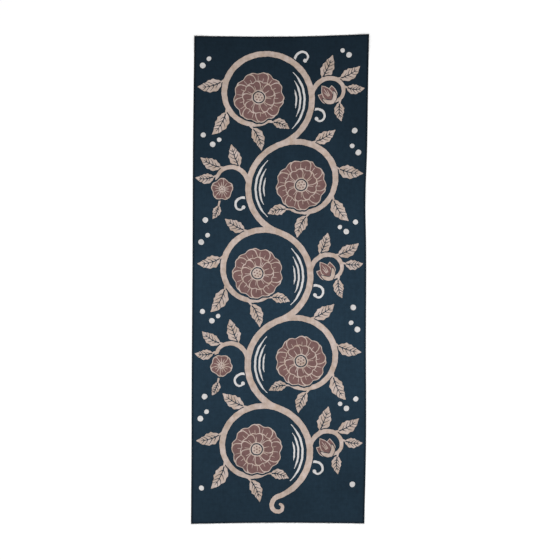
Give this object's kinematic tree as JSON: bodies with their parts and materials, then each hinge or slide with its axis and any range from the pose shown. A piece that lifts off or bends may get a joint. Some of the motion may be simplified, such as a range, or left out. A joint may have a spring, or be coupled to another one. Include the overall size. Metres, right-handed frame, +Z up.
{
  "type": "tenugui towel",
  "caption": "Long narrow sheet of thin plain-woven dyed cotton, laid out flat, with selvedge sides and cut, unhemmed ends.",
  "frame": {"origin": "middle of the towel's outline box, on the surface that it lies on", "axes": "+Y along the length, towards the end at the top of the picture; +X across the width, to the picture's right; +Z up, out of the face that shows"},
  "size_m": [0.3336, 0.9328, 0.0035],
  "materials": {
    "dyed_cotton": "matte dyed plain weave"
  },
  "bodies": {
    "root": {"towel_cloth": "dyed_cotton"}
  },
  "joints": []
}
